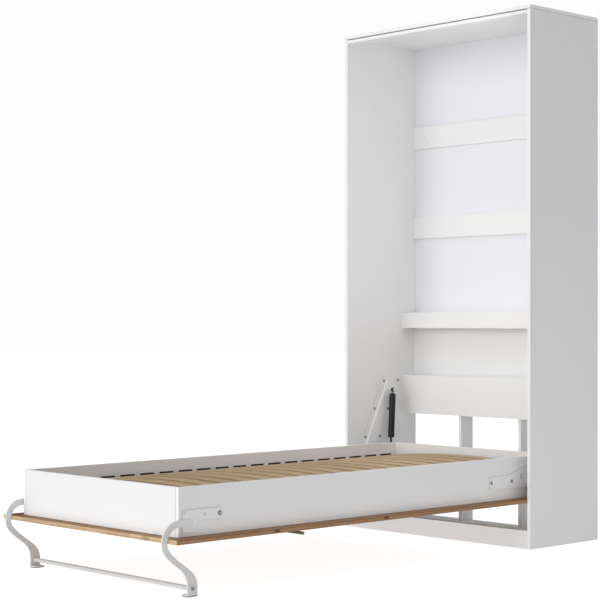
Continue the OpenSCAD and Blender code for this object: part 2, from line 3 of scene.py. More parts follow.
import bmesh
import bpy
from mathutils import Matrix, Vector


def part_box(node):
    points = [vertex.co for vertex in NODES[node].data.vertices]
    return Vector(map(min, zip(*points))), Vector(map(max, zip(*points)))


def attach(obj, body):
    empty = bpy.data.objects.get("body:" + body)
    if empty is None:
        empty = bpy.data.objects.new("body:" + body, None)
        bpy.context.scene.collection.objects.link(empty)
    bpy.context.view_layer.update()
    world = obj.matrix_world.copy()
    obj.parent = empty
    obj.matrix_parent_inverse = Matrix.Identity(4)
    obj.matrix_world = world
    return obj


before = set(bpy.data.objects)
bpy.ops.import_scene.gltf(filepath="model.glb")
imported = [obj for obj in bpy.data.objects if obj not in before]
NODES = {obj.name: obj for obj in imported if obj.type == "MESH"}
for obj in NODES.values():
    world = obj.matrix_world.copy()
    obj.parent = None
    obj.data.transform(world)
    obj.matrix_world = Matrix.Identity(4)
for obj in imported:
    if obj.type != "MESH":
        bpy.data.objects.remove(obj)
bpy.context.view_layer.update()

X, Y, Z = range(3)

# Millimetres in metres
MM = 0.001
# Thickness of a bowed slat
SLAT_T = 8 * MM
# Distance between the centres of two slats
SLAT_PITCH = 98.5 * MM
# Width of one stave of the oak decor
STAVE_W = 0.132
# Flat steel plates that lie on the bed box
PLATES = ("bed_hinge_plate_left", "bed_hinge_plate_right", "leg_bracket_left", "leg_bracket_right")
# Where dark knots cross the right-hand edge of the front panel, and their height over the floor
EDGE_KNOTS_Y = (-0.680, -0.128)
EDGE_KNOTS_Z = 198.5 * MM
# How far the slat pattern starts before the first slat, about half the gap between two slats
SLAT_LEAD = 15 * MM
# Faces that meet at less than the first angle are shaded as one, and edges past the second are rounded
SMOOTH_ANGLE = math.radians(30)
ROUNDED_ANGLE = math.radians(40)
# Shortest edge that is rounded on boards and on steel plates
BOARD_EDGE = 5 * MM
PLATE_EDGE = 0.45 * MM


# ---------- camera, light and stage ----------

def make_camera():
    """A long lens at seated eye height, level, in front of the bed's right-hand foot corner."""
    data = bpy.data.cameras.new("camera")
    data.sensor_width = 36.0
    data.lens = 99.03
    data.shift_x = -0.0337
    data.shift_y = 0.0325
    data.clip_start, data.clip_end = 0.1, 100.0
    camera = bpy.data.objects.new("camera", data)
    camera.location = (4.8290, -4.5911, 0.9431)
    camera.rotation_euler = (math.radians(90), 0, math.radians(46.279))
    bpy.context.scene.collection.objects.link(camera)
    bpy.context.scene.camera = camera


def make_sun(name, towards, strength, spread):
    """A wide, soft light from one side, like a studio softbox far away."""
    data = bpy.data.lights.new(name, "SUN")
    data.energy = strength
    data.angle = math.radians(spread)
    sun = bpy.data.objects.new(name, data)
    sun.rotation_mode = "QUATERNION"
    sun.rotation_quaternion = Vector(towards).to_track_quat("-Z", "Y")
    bpy.context.scene.collection.objects.link(sun)


def make_strip(name, place, towards, width, height, power, tint):
    """A soft strip light near the object, which the camera doesn't see."""
    data = bpy.data.lights.new(name, "AREA")
    data.shape = "RECTANGLE"
    data.size, data.size_y = width, height
    data.energy = power
    data.color = tint
    strip = bpy.data.objects.new(name, data)
    strip.location = place
    strip.rotation_mode = "QUATERNION"
    strip.rotation_quaternion = Vector(towards).to_track_quat("-Z", "Y")
    strip.visible_camera = False
    bpy.context.scene.collection.objects.link(strip)


def make_world(brightest, front, rear, backdrop):
    """Soft studio light that is brightest from one direction, and a pale backdrop."""
    world = bpy.data.worlds.new("studio")
    bpy.context.scene.world = world
    world.use_nodes = True
    nodes, links = world.node_tree.nodes, world.node_tree.links
    nodes.clear()
    direction = nodes.new("ShaderNodeTexCoord")
    along = nodes.new("ShaderNodeVectorMath")
    along.operation = "DOT_PRODUCT"
    along.inputs[1].default_value = Vector(brightest).normalized()
    fade = nodes.new("ShaderNodeMapRange")
    for socket, value in zip(fade.inputs[1:5], (-1.0, 1.0, rear, front)):
        socket.default_value = value
    around = nodes.new("ShaderNodeBackground")
    behind = nodes.new("ShaderNodeBackground")
    behind.inputs["Strength"].default_value = backdrop
    for light in (around, behind):
        light.inputs["Color"].default_value = (1, 1, 1, 1)
    path = nodes.new("ShaderNodeLightPath")
    pick = nodes.new("ShaderNodeMixShader")
    output = nodes.new("ShaderNodeOutputWorld")
    links.new(direction.outputs["Generated"], along.inputs[0])
    links.new(along.outputs["Value"], fade.inputs[0])
    links.new(fade.outputs[0], around.inputs["Strength"])
    links.new(path.outputs["Is Camera Ray"], pick.inputs[0])
    links.new(around.outputs[0], pick.inputs[1])
    links.new(behind.outputs[0], pick.inputs[2])
    links.new(pick.outputs[0], output.inputs["Surface"])


def make_floor(glow, shown):
    """A wide pale floor disc, matt and lit from below like a light table, so that shadows stay soft.

    It throws glow on the object, and looks brighter than that itself by shown.
    """
    mesh = bpy.data.meshes.new("floor")
    shape = bmesh.new()
    bmesh.ops.create_circle(shape, cap_ends=True, radius=40.0, segments=96)
    shape.to_mesh(mesh)
    shape.free()
    floor = bpy.data.objects.new("floor", mesh)
    bpy.context.scene.collection.objects.link(floor)
    paint = Finish("studio_floor", {"Roughness": 0.9, "Specular IOR Level": 0.1})
    paint.colour(paint.blend(paint.noise(0.7, detail=2), (0.39, 0.39, 0.39), (0.40, 0.40, 0.40)))
    paint.shader.inputs["Emission Color"].default_value = (0.985, 0.993, 1.0, 1)
    seen = paint.add("ShaderNodeLightPath", {}).outputs["Is Camera Ray"]
    strength = paint.math("MULTIPLY_ADD", seen, shown, glow)
    paint.links.new(strength, paint.shader.inputs["Emission Strength"])
    mesh.materials.append(paint.material)


# ---------- materials ----------

class Finish:
    """One procedural material: a principled shader, and short calls that add nodes before it."""

    def __init__(self, name, settings):
        self.material = bpy.data.materials.new(name)
        self.material.use_nodes = True
        tree = self.material.node_tree
        self.nodes, self.links = tree.nodes, tree.links
        self.shader = self.nodes["Principled BSDF"]
        for socket, value in settings.items():
            self.shader.inputs[socket].default_value = value
        texture = self.nodes.new("ShaderNodeTexCoord")
        self.place = texture.outputs["Object"]
        self.facing = texture.outputs["Normal"]

    def add(self, kind, inputs, **settings):
        node = self.nodes.new(kind)
        for key, value in settings.items():
            setattr(node, key, value)
        for key, value in inputs.items():
            if isinstance(value, bpy.types.NodeSocket):
                self.links.new(value, node.inputs[key])
            else:
                node.inputs[key].default_value = value
        return node

    def math(self, operation, *values, clamp=False):
        inputs = dict(enumerate(values))
        return self.add("ShaderNodeMath", inputs, operation=operation, use_clamp=clamp).outputs[0]

    def vector(self, operation, *values):
        inputs = dict(enumerate(values))
        return self.add("ShaderNodeVectorMath", inputs, operation=operation).outputs[0]

    def stretch(self, scale, place=None):
        """The place multiplied by one factor along each axis."""
        return self.vector("MULTIPLY", place or self.place, scale)

    def split(self, vector):
        """The three parts of a vector."""
        node = self.add("ShaderNodeSeparateXYZ", {"Vector": vector})
        return node.outputs[X], node.outputs[Y], node.outputs[Z]

    def join(self, x, y, z):
        return self.add("ShaderNodeCombineXYZ", {"X": x, "Y": y, "Z": z}).outputs[0]

    def noise(self, scale, place=None, detail=3.0, rough=0.5, distortion=0.0):
        """Soft noise from 0 to 1, about scale lumps to the metre."""
        inputs = {
            "Vector": place or self.place, "Scale": scale, "Detail": detail,
            "Roughness": rough, "Distortion": distortion,
        }
        return self.add("ShaderNodeTexNoise", inputs).outputs[0]

    def cells(self, scale, place=None, feature="F1"):
        """Distance to the nearest of some scattered points, and that point's own random colour."""
        inputs = {"Vector": place or self.place, "Scale": scale}
        node = self.add("ShaderNodeTexVoronoi", inputs, feature=feature)
        return node.outputs["Distance"], node.outputs["Color"]

    def chance(self, value):
        """A random number from 0 to 1 for each whole number."""
        inputs = {"W": value}
        return self.add("ShaderNodeTexWhiteNoise", inputs, noise_dimensions="1D").outputs[0]

    def span(self, value, low, high, to_low=0.0, to_high=1.0, smooth=False):
        """value taken from low..high to to_low..to_high, and held there outside."""
        kind = "SMOOTHSTEP" if smooth else "LINEAR"
        inputs = {0: value, 1: low, 2: high, 3: to_low, 4: to_high}
        return self.add("ShaderNodeMapRange", inputs, interpolation_type=kind).outputs[0]

    def blend(self, share, a, b, mode="MIX"):
        """Colour a at share 0 and colour b at share 1."""
        a, b = (c if isinstance(c, bpy.types.NodeSocket) else (*c, 1) for c in (a, b))
        node = self.add("ShaderNodeMix", {0: share, 6: a, 7: b}, data_type="RGBA", blend_type=mode)
        return node.outputs[2]

    def flatness(self, radius):
        """1 on open ground, and less within a radius of an edge or a corner."""
        rounded = self.add("ShaderNodeBevel", {"Radius": radius}, samples=8).outputs[0]
        facet = self.add("ShaderNodeNewGeometry", {}).outputs["True Normal"]
        inputs = {0: rounded, 1: facet}
        return self.add("ShaderNodeVectorMath", inputs, operation="DOT_PRODUCT").outputs["Value"]

    def shade(self, colour, factor):
        """A colour made darker or lighter by a factor that varies over the surface."""
        grey = self.join(factor, factor, factor)
        return self.blend(1.0, colour, grey, mode="MULTIPLY")

    def broad(self, axis):
        """1 on the faces that look along an axis, and 0 on the others."""
        part = self.math("ABSOLUTE", self.split(self.facing)[axis])
        return self.span(part, 0.6, 0.8)

    def colour(self, socket):
        self.links.new(socket, self.shader.inputs["Base Color"])

    def roughness(self, value, low, high):
        """Roughness that follows a 0 to 1 value."""
        socket = self.span(value, 0.3, 0.7, low, high)
        self.links.new(socket, self.shader.inputs["Roughness"])

    def bump(self, height, depth, strength=1.0):
        """Relief of a depth in metres from a 0 to 1 height. A second call lies on the first."""
        inputs = {"Strength": strength, "Distance": depth, "Height": height}
        before = self.shader.inputs["Normal"].links
        if before:
            inputs["Normal"] = before[0].from_socket
        node = self.add("ShaderNodeBump", inputs)
        self.links.new(node.outputs[0], self.shader.inputs["Normal"])


def white_board(thin_axis, shadow_line_z=None, seam_shade_x=None):
    """White melamine on chipboard: a faint pearl texture, lighter edge bands and light scuffs.

    With shadow_line_z the edge bands end there in a dark line of painted shadow, for the shade in the
    gap below the board. With seam_shade_x the board's face ends there, on both sides, in a faint line
    of painted shade, for the shade in the butt seam.
    """
    paint = Finish(f"white_board_{'xyz'[thin_axis]}", {"Roughness": 0.42, "Specular IOR Level": 0.35})
    face = paint.broad(thin_axis)
    cloud = paint.noise(2.3, detail=2)
    board = paint.blend(cloud, (0.870, 0.870, 0.869), (0.892, 0.892, 0.891))
    fleck = paint.span(paint.noise(420, detail=1), 0.30, 0.42, 0.985, 1.0)
    board = paint.shade(board, fleck)
    board = paint.blend(face, (0.925, 0.925, 0.924), board)
    if shadow_line_z is not None:
        # Painted shadow: a dark line along the bottom of the edge bands, for the shade in the gap
        # below the board.
        height = paint.math("SUBTRACT", paint.split(paint.place)[Z], shadow_line_z)
        joint_and_shade = paint.span(height, 0.8 * MM, 1.6 * MM, 0.9, 0.0)
        joint_and_shade = paint.math("MULTIPLY", joint_and_shade, paint.math("SUBTRACT", 1.0, face))
        board = paint.blend(joint_and_shade, board, (0.12, 0.12, 0.12))
    if seam_shade_x is not None:
        # Painted shade: a faint dark line at both ends of the face, for the shade in the butt seam.
        inset = paint.math("SUBTRACT", seam_shade_x, paint.math("ABSOLUTE", paint.split(paint.place)[X]))
        joint_and_shade = paint.span(inset, 0.9 * MM, 2.8 * MM, 0.60, 0.0)
        board = paint.blend(joint_and_shade, board, (0.25, 0.25, 0.25))
    paint.colour(board)
    paint.roughness(paint.noise(9, detail=6, rough=0.65), 0.36, 0.50)
    pearl = paint.noise(650, detail=2)
    paint.bump(pearl, 0.06 * MM, 0.5)
    paint.bump(paint.noise(55, detail=2), 0.05 * MM, 0.6)
    return paint.material


def thin_back():
    """Lacquered hardboard: cool white in front, bare brown fibre behind."""
    paint = Finish("thin_back", {"Roughness": 0.38, "Specular IOR Level": 0.4})
    cloud = paint.noise(1.6, detail=2)
    front = paint.blend(cloud, (0.850, 0.852, 0.893), (0.875, 0.877, 0.915))
    fibre = paint.noise(1.0, paint.stretch((260, 260, 900)), detail=5, rough=0.7)
    bare = paint.blend(fibre, (0.30, 0.205, 0.125), (0.47, 0.345, 0.225))
    bare = paint.blend(paint.noise(5, detail=4), bare, (0.36, 0.25, 0.155))
    behind = paint.span(paint.split(paint.facing)[Y], 0.3, 0.6)
    paint.colour(paint.blend(behind, front, bare))
    paint.roughness(behind, 0.36, 0.82)
    screen = paint.cells(330)[0]
    paint.bump(screen, 0.10 * MM, 0.4)
    return paint.material


def oak_board():
    """Knotty oak decor in staves along the bed, with a paler band on the foot edge."""
    paint = Finish("oak_board", {"Roughness": 0.5, "Specular IOR Level": 0.2})
    x, y, z = paint.split(paint.place)
    stave = paint.math("DIVIDE", x, STAVE_W)
    number = paint.math("FLOOR", stave)
    luck = paint.chance(number)
    shift = paint.math("MULTIPLY", luck, 9.0)
    wood = paint.join(x, paint.math("ADD", y, shift), z)

    knot_place = paint.stretch((7.6, 2.3, 7.6), wood)
    knot_far, knot_luck = paint.cells(1.0, knot_place)
    rare = paint.span(paint.split(knot_luck)[X], 0.62, 0.64)
    knot_near = paint.math("MULTIPLY", paint.span(knot_far, 0.02, 0.34, 1.0, 0.0, smooth=True), rare)

    sway = paint.noise(1.0, paint.stretch((3.4, 0.75, 3.4), wood), detail=2)
    across = paint.math("ADD", x, paint.math("MULTIPLY", z, 0.8))
    phase = paint.math("MULTIPLY_ADD", across, 330.0, paint.math("MULTIPLY", sway, 44.0))
    phase = paint.math("MULTIPLY_ADD", knot_near, 16.0, phase)
    rings = paint.math("MULTIPLY_ADD", paint.math("SINE", phase), 0.5, 0.5)
    streak = paint.noise(1.0, paint.stretch((120, 3.0, 120), wood), detail=5, rough=0.62)
    broad_streak = paint.noise(1.0, paint.stretch((26, 1.1, 26), wood), detail=4, rough=0.55)
    figure = paint.math("MULTIPLY_ADD", rings, 0.13, paint.math("MULTIPLY", streak, 0.62))
    figure = paint.math("MULTIPLY_ADD", broad_streak, 0.42, figure)
    figure = paint.span(figure, 0.33, 0.82)

    tan = paint.blend(figure, (0.255, 0.134, 0.062), (0.450, 0.262, 0.138))
    band = paint.noise(1.0, paint.stretch((5, 5, 260)), detail=4, rough=0.6)
    band = paint.span(band, 0.32, 0.66)
    pale = paint.blend(band, (0.470, 0.320, 0.185), (0.680, 0.510, 0.325))
    end = paint.broad(Y)
    wood_colour = paint.blend(end, tan, pale)
    # Painted shade: faces that look up are darker and browner, for the shade on the panel's upper face
    # inside the bed box.
    upward_shade = paint.span(paint.split(paint.facing)[Z], 0.6, 0.8)
    wood_colour = paint.blend(upward_shade, wood_colour, (0.64, 0.55, 0.42), mode="MULTIPLY")
    # Painted shadow: the side edges darken in their top 1 to 3 mm, for the shadow under the side
    # rails.
    drop = paint.math("SUBTRACT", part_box("front_panel")[1].z, z)
    painted_shadow_line = paint.math("MULTIPLY", paint.span(drop, 1.0 * MM, 3.2 * MM, 1.0, 0.0), paint.broad(X))
    wood_colour = paint.blend(painted_shadow_line, wood_colour, (0.42, 0.38, 0.36), mode="MULTIPLY")
    wood_colour = paint.shade(wood_colour, paint.span(luck, 0.0, 1.0, 0.86, 1.10))

    pore = paint.noise(1.0, paint.stretch((900, 26, 900), wood), detail=2)
    pore = paint.span(pore, 0.60, 0.70)
    wood_colour = paint.blend(paint.math("MULTIPLY", pore, 0.45), wood_colour, (0.16, 0.085, 0.042))

    heart = paint.math("MULTIPLY", paint.span(knot_far, 0.05, 0.12, 1.0, 0.0, smooth=True), rare)
    halo = paint.math("MULTIPLY", paint.span(knot_far, 0.08, 0.26, 0.55, 0.0, smooth=True), rare)
    wood_colour = paint.blend(halo, wood_colour, (0.20, 0.105, 0.050))
    wood_colour = paint.blend(heart, wood_colour, (0.070, 0.036, 0.018))

    for knot_y in EDGE_KNOTS_Y:
        centre = (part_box("front_panel")[1].x, knot_y, EDGE_KNOTS_Z)
        away = paint.vector("SUBTRACT", paint.place, centre)
        away = paint.vector("MULTIPLY", away, (60, 55, 190))
        reach = paint.add("ShaderNodeVectorMath", {0: away}, operation="LENGTH").outputs["Value"]
        spot = paint.span(reach, 0.45, 1.15, 0.92, 0.0, smooth=True)
        wood_colour = paint.blend(spot, wood_colour, (0.075, 0.040, 0.020))

    beside = paint.math("ABSOLUTE", paint.math("SUBTRACT", paint.math("FRACT", stave), 0.5))
    joint_and_shade = paint.span(beside, 0.4945, 0.498, 0.0, 0.55)
    joint_and_shade = paint.math("MULTIPLY", joint_and_shade, paint.broad(Z))
    wood_colour = paint.blend(joint_and_shade, wood_colour, (0.13, 0.07, 0.035))
    paint.colour(wood_colour)
    paint.roughness(figure, 0.44, 0.58)
    paint.bump(paint.math("SUBTRACT", 1.0, pore), 0.12 * MM, 0.7)
    paint.bump(streak, 0.10 * MM, 0.5)
    return paint.material


def birch():
    """Bent veneer slats: grain along X, a tone of its own on each slat, glued layers on the sides."""
    paint = Finish("birch", {"Roughness": 0.55, "Specular IOR Level": 0.18})
    x, y, z = paint.split(paint.place)
    low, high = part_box("slats_1")
    along = paint.math("SUBTRACT", y, low.y - SLAT_LEAD)
    slat_number = paint.math("FLOOR", paint.math("DIVIDE", along, SLAT_PITCH))
    luck = paint.chance(slat_number)
    shifted = paint.join(paint.math("MULTIPLY_ADD", luck, 5.0, x), y, z)
    fibres = paint.stretch((5.5, 150, 150), shifted)
    grain = paint.noise(1.0, fibres, detail=5, rough=0.6, distortion=0.3)
    fine = paint.noise(1.0, paint.stretch((22, 900, 900), shifted), detail=2)
    colour = paint.blend(paint.span(grain, 0.30, 0.72), (0.425, 0.298, 0.176), (0.560, 0.408, 0.252))
    colour = paint.shade(colour, paint.span(fine, 0.35, 0.65, 0.93, 1.04))
    colour = paint.shade(colour, paint.span(luck, 0.0, 1.0, 0.93, 1.06))

    rise = (high.z - low.z) - SLAT_T
    radius = (high.x ** 2 + rise ** 2) / (2 * rise)
    centre_z = high.z - radius
    away_z = paint.math("SUBTRACT", z, centre_z)
    squares = paint.math("ADD", paint.math("POWER", x, 2.0), paint.math("POWER", away_z, 2.0))
    away = paint.math("SQRT", squares)
    layer = paint.math("FRACT", paint.math("DIVIDE", paint.math("SUBTRACT", away, radius), 2.3 * MM))
    glue = paint.span(paint.math("ABSOLUTE", paint.math("SUBTRACT", layer, 0.5)), 0.36, 0.46, 0.0, 0.6)
    glue = paint.math("MULTIPLY", glue, paint.math("MULTIPLY", paint.broad(Y), 0.5))
    colour = paint.blend(glue, colour, (0.22, 0.135, 0.075))

    spot_far, spot_luck = paint.cells(1.0, paint.stretch((3.4, 14, 14), shifted))
    rare = paint.span(paint.split(spot_luck)[X], 0.70, 0.72)
    spot = paint.math("MULTIPLY", paint.span(spot_far, 0.03, 0.12, 0.65, 0.0, smooth=True), rare)
    colour = paint.blend(spot, colour, (0.19, 0.115, 0.065))
    paint.colour(colour)
    paint.roughness(grain, 0.48, 0.62)
    paint.bump(grain, 0.12 * MM, 0.6)
    paint.bump(fine, 0.05 * MM, 0.5)
    return paint.material


def coated_steel(name, low, high, edge=1.0, rim=(0.2, 0.45), shade_line_width=None):
    """Light powder coat on steel: fine orange peel, faint clouding and a few rubbed spots.

    The coat is darker by edge where a plate turns away from X by more than rim says: painted shade
    that draws the plate's outline.
    With a lip, a darker line of painted shade, that wide, runs all round the plate's outline.
    """
    settings = {
        "Roughness": 0.38, "Specular IOR Level": 0.4,
        "Coat Weight": 0.10, "Coat Roughness": 0.3,
    }
    paint = Finish(name, settings)
    cloud = paint.noise(7, detail=3)
    colour = paint.blend(cloud, (low, low, low * 1.002), (high, high, high * 1.002))
    rub = paint.span(paint.noise(38, detail=7, rough=0.7), 0.66, 0.74, 0.0, 0.25)
    colour = paint.blend(rub, colour, (0.58, 0.58, 0.57))
    # Painted shade: faces that turn away from X are darker by edge, to draw the plate's outline.
    sideways = paint.math("ABSOLUTE", paint.split(paint.facing)[X])
    colour = paint.shade(colour, paint.span(sideways, *rim, edge, 1.0))
    # Painted shade: a darker line along every edge and corner of the plate, for the contact shade
    # round it.
    if shade_line_width is not None:
        colour = paint.shade(colour, paint.span(paint.flatness(shade_line_width), 0.90, 0.995, 0.60, 1.0))
    paint.colour(colour)
    paint.roughness(paint.noise(26, detail=5, rough=0.6), 0.32, 0.46)
    paint.bump(paint.noise(480, detail=1), 0.12 * MM, 0.5)
    return paint.material


def screw_steel():
    """Dull zinc on the fasteners, with fine mottling."""
    paint = Finish("screw_steel", {"Metallic": 0.85, "Roughness": 0.4})
    mottle = paint.noise(300, detail=4, rough=0.65)
    colour = paint.blend(mottle, (0.260, 0.257, 0.252), (0.480, 0.475, 0.465))
    paint.colour(colour)
    paint.roughness(paint.noise(160, detail=4), 0.30, 0.52)
    paint.bump(paint.noise(1500, detail=2), 0.04 * MM, 0.5)
    return paint.material


def ring_washer_steel():
    """Blackened spring steel of the dished washers, with fine mottling."""
    paint = Finish("washer_steel", {"Metallic": 0.6, "Roughness": 0.5})
    mottle = paint.noise(420, detail=4, rough=0.65)
    colour = paint.blend(mottle, (0.060, 0.060, 0.060), (0.130, 0.129, 0.127))
    paint.colour(colour)
    paint.roughness(paint.noise(200, detail=4), 0.42, 0.60)
    paint.bump(paint.noise(1500, detail=2), 0.03 * MM, 0.5)
    return paint.material


def handle_metal():
    """Satin dark metal, brushed along the bar."""
    paint = Finish("handle_metal", {"Metallic": 0.9, "Roughness": 0.34, "Anisotropic": 0.3})
    brush = paint.noise(1.0, paint.stretch((40, 2600, 2600)), detail=3)
    colour = paint.blend(brush, (0.155, 0.143, 0.125), (0.285, 0.268, 0.240))
    colour = paint.shade(colour, paint.span(paint.noise(30, detail=4), 0.3, 0.7, 0.9, 1.08))
    paint.colour(colour)
    paint.roughness(brush, 0.26, 0.42)
    paint.bump(brush, 0.02 * MM, 0.6)
    return paint.material


def black_paint():
    """Baked black paint on the gas cylinders, half glossy, with fine dust in it."""
    paint = Finish("black_paint", {"Roughness": 0.34, "Specular IOR Level": 0.32})
    dust = paint.span(paint.noise(600, detail=2), 0.62, 0.72)
    colour = paint.blend(paint.noise(20, detail=3), (0.008, 0.008, 0.009), (0.014, 0.014, 0.015))
    colour = paint.blend(paint.math("MULTIPLY", dust, 0.2), colour, (0.06, 0.06, 0.06))
    paint.colour(colour)
    paint.roughness(paint.noise(45, detail=5, rough=0.6), 0.26, 0.38)
    paint.bump(paint.noise(350, detail=1), 0.04 * MM, 0.5)
    return paint.material


def rod_steel():
    """Black nitrided steel with fine bright scratches along the stroke."""
    paint = Finish("rod_steel", {"Metallic": 0.7, "Roughness": 0.22})
    scratch = paint.noise(1.0, paint.stretch((1800, 1800, 12)), detail=3)
    worn = paint.span(scratch, 0.66, 0.78, 0.0, 0.35)
    base = paint.blend(scratch, (0.018, 0.018, 0.020), (0.040, 0.040, 0.043))
    paint.colour(paint.blend(worn, base, (0.16, 0.16, 0.165)))
    paint.roughness(scratch, 0.16, 0.30)
    paint.bump(scratch, 0.01 * MM, 0.5)
    return paint.material


def black_plastic():
    """Moulded black plastic with a matt spark-eroded grain."""
    paint = Finish("black_plastic", {"Roughness": 0.6, "Specular IOR Level": 0.4})
    cloud = paint.noise(60, detail=3)
    paint.colour(paint.blend(cloud, (0.014, 0.014, 0.015), (0.028, 0.028, 0.029)))
    paint.roughness(paint.noise(220, detail=4), 0.50, 0.70)
    paint.bump(paint.noise(1400, detail=1), 0.08 * MM, 0.6)
    return paint.material


def grey_plastic():
    """Moulded light grey plastic with a matt spark-eroded grain."""
    paint = Finish("grey_plastic", {"Roughness": 0.6, "Specular IOR Level": 0.4})
    cloud = paint.noise(60, detail=3)
    paint.colour(paint.blend(cloud, (0.22, 0.22, 0.22), (0.28, 0.28, 0.28)))
    paint.roughness(paint.noise(220, detail=4), 0.50, 0.70)
    paint.bump(paint.noise(1400, detail=1), 0.08 * MM, 0.6)
    return paint.material


def assign_materials():
    """Gives every CAD node its finish. A board's thin axis says which of its faces are edges."""
    boards = {axis: white_board(axis) for axis in (X, Y, Z)}
    plain = {
        "thin_back": thin_back(), "oak_board": oak_board(), "birch": birch(),
        "coated_steel": coated_steel("coated_steel", 0.775, 0.815), "screw_steel": screw_steel(),
        "handle_metal": handle_metal(), "black_paint": black_paint(),
        "rod_steel": rod_steel(), "black_plastic": black_plastic(),
        "grey_plastic": grey_plastic(),
    }
    # pressed_steel and plate_steel darken their turned faces with painted shade.
    pressed = coated_steel("pressed_steel", 0.865, 0.885, edge=0.62)
    plate = coated_steel("plate_steel", 0.865, 0.885, edge=0.80, rim=(0.60, 0.95), shade_line_width=4 * MM)
    # Painted shade: the crossbar takes a darker copy of the leg's powder coat, for the grey shading
    # along its outline.
    bar = coated_steel("bar_steel_shaded", 0.74, 0.78)
    butted = {
        "top_board": white_board(Z, shadow_line_z=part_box("top_board")[0].z),
        "foot_board": white_board(Y, seam_shade_x=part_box("foot_board")[1].x),
    }
    for node, obj in NODES.items():
        slot = obj.material_slots[0]
        kind = slot.material.name
        if node in butted:
            slot.material = butted[node]
        elif kind == "white_board":
            low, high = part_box(node)
            size = high - low
            slot.material = boards[min((X, Y, Z), key=lambda axis: size[axis])]
        elif node.startswith("cabinet_hinge_plate"):
            slot.material = pressed
        elif node in PLATES:
            slot.material = plate
        elif node == "leg_crossbar":
            slot.material = bar
        else:
            slot.material = plain[kind]
    return plain


# ---------- softened edges ----------

def edge_group(name, smooth_limit, bevel_limit, shortest):
    """A node group that drops stored normals, marks sharp edges, and says which edges to bevel.

    Edges shorter than shortest, such as the rims of small holes, keep their corner.
    """
    group = bpy.data.node_groups.new(name, "GeometryNodeTree")
    group.interface.new_socket("Geometry", in_out="INPUT", socket_type="NodeSocketGeometry")
    group.interface.new_socket("Geometry", in_out="OUTPUT", socket_type="NodeSocketGeometry")
    new, join = group.nodes.new, group.links.new
    start, end = new("NodeGroupInput"), new("NodeGroupOutput")
    drop = new("GeometryNodeRemoveAttribute")
    drop.inputs["Name"].default_value = "custom_normal"
    smooth = new("GeometryNodeSetShadeSmooth")
    sharpen = new("GeometryNodeSetShadeSmooth")
    sharpen.domain = "EDGE"
    sharpen.inputs["Shade Smooth"].default_value = False
    angle = new("GeometryNodeInputMeshEdgeAngle")
    join(start.outputs[0], drop.inputs["Geometry"])
    join(drop.outputs[0], smooth.inputs["Geometry"])
    join(smooth.outputs[0], sharpen.inputs["Geometry"])

    def greater(socket, limit):
        test = new("FunctionNodeCompare")
        test.operation = "GREATER_THAN"
        test.inputs[1].default_value = limit
        join(socket, test.inputs[0])
        return test.outputs[0]

    join(greater(angle.outputs["Unsigned Angle"], smooth_limit), sharpen.inputs["Selection"])
    ends = new("GeometryNodeInputMeshEdgeVertices")
    length = new("ShaderNodeVectorMath")
    length.operation = "DISTANCE"
    join(ends.outputs["Position 1"], length.inputs[0])
    join(ends.outputs["Position 2"], length.inputs[1])
    both = new("FunctionNodeBooleanMath")
    both.operation = "AND"
    join(greater(angle.outputs["Unsigned Angle"], bevel_limit), both.inputs[0])
    join(greater(length.outputs["Value"], shortest), both.inputs[1])
    store = new("GeometryNodeStoreNamedAttribute")
    store.domain = "EDGE"
    store.data_type = "FLOAT"
    store.inputs["Name"].default_value = "bevel_weight_edge"
    join(sharpen.outputs[0], store.inputs["Geometry"])
    join(both.outputs[0], store.inputs["Value"])
    join(store.outputs[0], end.inputs[0])
    return group


def soften_edges():
    """Rounds the hard edges of the CAD nodes a little, as boards, pressings and castings have it."""
    widths = {
        "white_board": 0.8 * MM, "thin_back": 0.3 * MM, "oak_board": 0.8 * MM, "birch": 1.2 * MM,
        "coated_steel": 0.8 * MM, "screw_steel": 0.25 * MM, "handle_metal": 0.9 * MM,
        "black_paint": 0.8 * MM, "rod_steel": 0.3 * MM, "black_plastic": 0.6 * MM,
        "grey_plastic": 0.6 * MM,
    }
    shortest = {
        "white_board": BOARD_EDGE, "thin_back": BOARD_EDGE, "oak_board": BOARD_EDGE,
        "coated_steel": PLATE_EDGE,
    }
    groups = {
        length: edge_group(f"edges_{length / MM:.2f}", SMOOTH_ANGLE, ROUNDED_ANGLE, length)
        for length in (0.0, PLATE_EDGE, BOARD_EDGE)
    }
    for obj in NODES.values():
        kind = obj.material_slots[0].material.name
        weld = obj.modifiers.new("weld", "WELD")
        weld.merge_threshold = 0.01 * MM
        clean = obj.modifiers.new("clean", "NODES")
        clean.node_group = groups[shortest.get(kind, 0.0)]
        bevel = obj.modifiers.new("bevel", "BEVEL")
        bevel.width = widths[kind]
        bevel.segments = 2
        bevel.limit_method = "WEIGHT"
        bevel.harden_normals = True


# ---------- turned and pressed details ----------

# The hinge axis and the right-hand studs, behind the cabinet's front plane and over the floor
FRONT_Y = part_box("side_panel_left")[0].y
PIVOT = Vector((0, FRONT_Y + 72 * MM, 261 * MM))
UPPER_STUD = Vector((488 * MM, FRONT_Y + 261 * MM, 618 * MM))
LOWER_STUD = Vector((488 * MM, FRONT_Y + 240 * MM, 224 * MM))
# Outer faces of the plates on the bed, and inner faces of the plates on the cabinet
PLATE_FACE_X = 469 * MM
CABINET_PLATE_FACE_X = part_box("side_panel_right")[0].x - 3 * MM
# Middle of a leg arm's rounded end, from the corner of the side rail, and its radius
ARM_END_Y = 47 * MM
ARM_END_Z = 47.75 * MM
ARM_END_R = 12.25 * MM
# Places of the plate screws, in millimetres from the hinge axis or the upper stud
CABINET_SCREWS = ((42, 141), (137, 141), (102, 270), (191, 266))
STUD_SCREWS = ((-25, 41), (69, 41))
BED_SCREWS = ((-232, 18), (-104, 18), (-38, 34), (53, 57), (118, 1))
